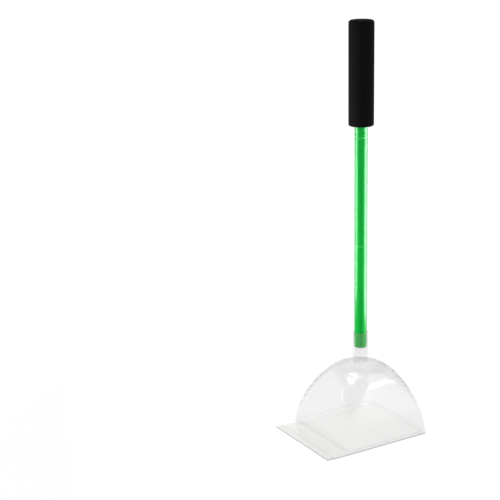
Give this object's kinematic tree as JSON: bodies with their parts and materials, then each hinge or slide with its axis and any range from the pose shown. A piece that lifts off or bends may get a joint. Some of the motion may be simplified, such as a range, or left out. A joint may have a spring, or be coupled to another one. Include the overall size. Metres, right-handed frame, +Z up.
{
  "type": "spider catcher",
  "caption": "Clear vaulted trap on a square frame with a sliding shutter underneath, on a straight push-fit handle with a foam grip, for catching spiders and insects at arm's length.",
  "frame": {"origin": "on the floor, midway between the shutter's lip and the far end of the frame, on the plane of symmetry", "axes": "+Z up along the handle, +Y across the frame, -X the way the shutter slides out"},
  "size_m": [0.176, 0.14, 0.6091],
  "materials": {
    "clear_hood": "clear, polished",
    "clear_frame": "clear, polished",
    "clear_shutter": "clear, lightly hazed",
    "green_tube": "glossy moulded plastic",
    "green_joiner": "satin moulded plastic",
    "black_foam": "matte closed-cell foam"
  },
  "bodies": {
    "trap": {"hood": "clear_hood", "base_frame": "clear_frame"},
    "shutter": {"shutter": "clear_shutter"},
    "lower_handle": {"lower_tube": "green_tube", "lower_joiner": "green_joiner"},
    "middle_handle": {"middle_tube": "green_tube", "upper_joiner": "green_joiner"},
    "upper_handle": {"upper_tube": "green_tube", "grip": "black_foam"}
  },
  "joints": [
    {"name": "shutter_slide", "type": "slide", "parent": "trap", "child": "shutter", "axis": [-1, 0, 0], "range_m": [0, 0.137]},
    {"name": "socket_pull", "type": "slide", "parent": "trap", "child": "lower_handle", "axis": [0, 0, 1], "range_m": [0, 0.026]},
    {"name": "lower_tube_pull", "type": "slide", "parent": "lower_handle", "child": "middle_handle", "axis": [0, 0, 1], "range_m": [0, 0.027]},
    {"name": "upper_tube_pull", "type": "slide", "parent": "middle_handle", "child": "upper_handle", "axis": [0, 0, 1], "range_m": [0, 0.027]}
  ]
}
